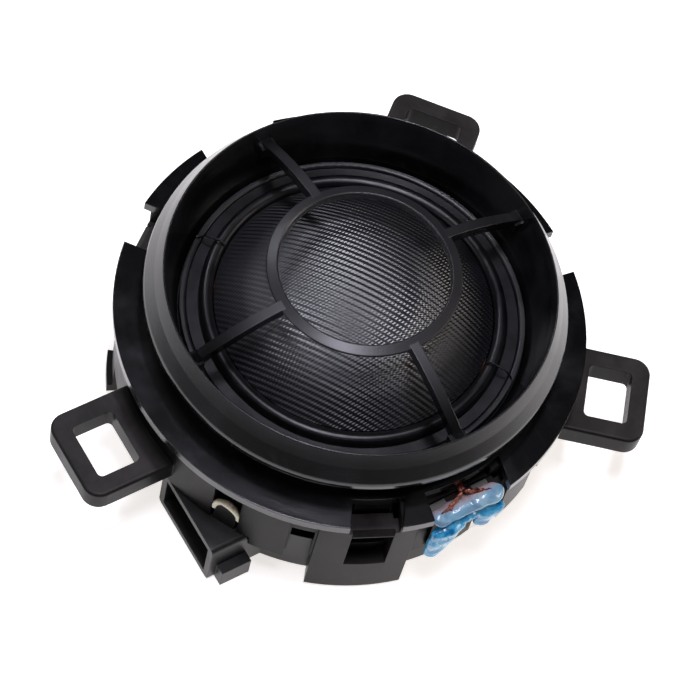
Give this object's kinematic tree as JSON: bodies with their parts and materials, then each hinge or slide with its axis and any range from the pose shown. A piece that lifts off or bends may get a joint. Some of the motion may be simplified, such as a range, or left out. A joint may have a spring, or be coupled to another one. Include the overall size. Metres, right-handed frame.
{
  "type": "car tweeter",
  "caption": "Small soft-dome car tweeter: ringed finger guard in a collared flange, plug-in housing with mounting ears, side connector socket and built-in crossover capacitor.",
  "frame": {"origin": "on the speaker axis, in the front face of the mounting flange", "axes": "+Z along the speaker axis, out of the dome; the single mounting ear on -X"},
  "size_m": [0.0529, 0.0432, 0.0216],
  "materials": {
    "bezel_abs": "moulded ABS, fine satin",
    "housing_abs": "moulded ABS, semi-gloss",
    "cover_abs": "moulded ABS, semi-gloss",
    "hot_melt": "hot-melt adhesive, waxy",
    "pot_steel": "turned, zinc plated",
    "magnet_nickel": "nickel plated",
    "plate_steel": "stamped, zinc plated",
    "felt": "pressed wool felt",
    "motor_glue": "cured adhesive",
    "surround_cloth": "coated woven cloth",
    "dome_cloth": "coated woven cloth",
    "ring_abs": "moulded ABS, satin",
    "coil_wire": "enamelled copper",
    "former_foil": "rolled foil",
    "winding_copper": "enamelled copper",
    "tag_tin": "tin-plated brass",
    "litz_copper": "bare copper strands",
    "blue_lacquer": "cured glossy lacquer",
    "pin_tin": "tin-plated brass",
    "film_case": "moulded epoxy case",
    "leg_tin": "tinned copper",
    "wire_red": "extruded PVC",
    "wire_black": "extruded PVC"
  },
  "bodies": {
    "chassis": {"front_bezel": "bezel_abs", "housing": "housing_abs", "rear_cover": "cover_abs", "sealing_bead": "hot_melt", "pot": "pot_steel", "magnet": "magnet_nickel", "pole_plate": "plate_steel", "damping_felt": "felt", "motor_adhesive": "motor_glue", "surround": "surround_cloth", "dome_ring": "ring_abs", "lead_out_wire_left": "coil_wire", "lead_out_wire_right": "coil_wire", "solder_tag_left": "tag_tin", "solder_tag_right": "tag_tin", "litz_lead_left": "litz_copper", "litz_lead_right": "litz_copper", "lacquer_drop_left": "blue_lacquer", "lacquer_drop_right": "blue_lacquer", "terminal_pin_left": "pin_tin", "terminal_pin_right": "pin_tin", "capacitor": "film_case", "capacitor_leg_near": "leg_tin", "capacitor_leg_far": "leg_tin", "wire_pin_to_capacitor": "wire_red", "wire_capacitor_to_tag": "wire_red", "wire_pin_to_tag": "wire_black"},
    "diaphragm_assembly": {"dome": "dome_cloth", "coil_former": "former_foil", "coil_winding": "winding_copper"}
  },
  "joints": [
    {"name": "voice_coil_travel", "type": "slide", "parent": "chassis", "child": "diaphragm_assembly", "axis": [0, 0, 1], "range_m": [-0.0004, 0.0004], "stiffness_N_per_m": 60, "deforming": ["surround", "lead_out_wire_left", "lead_out_wire_right"]}
  ]
}
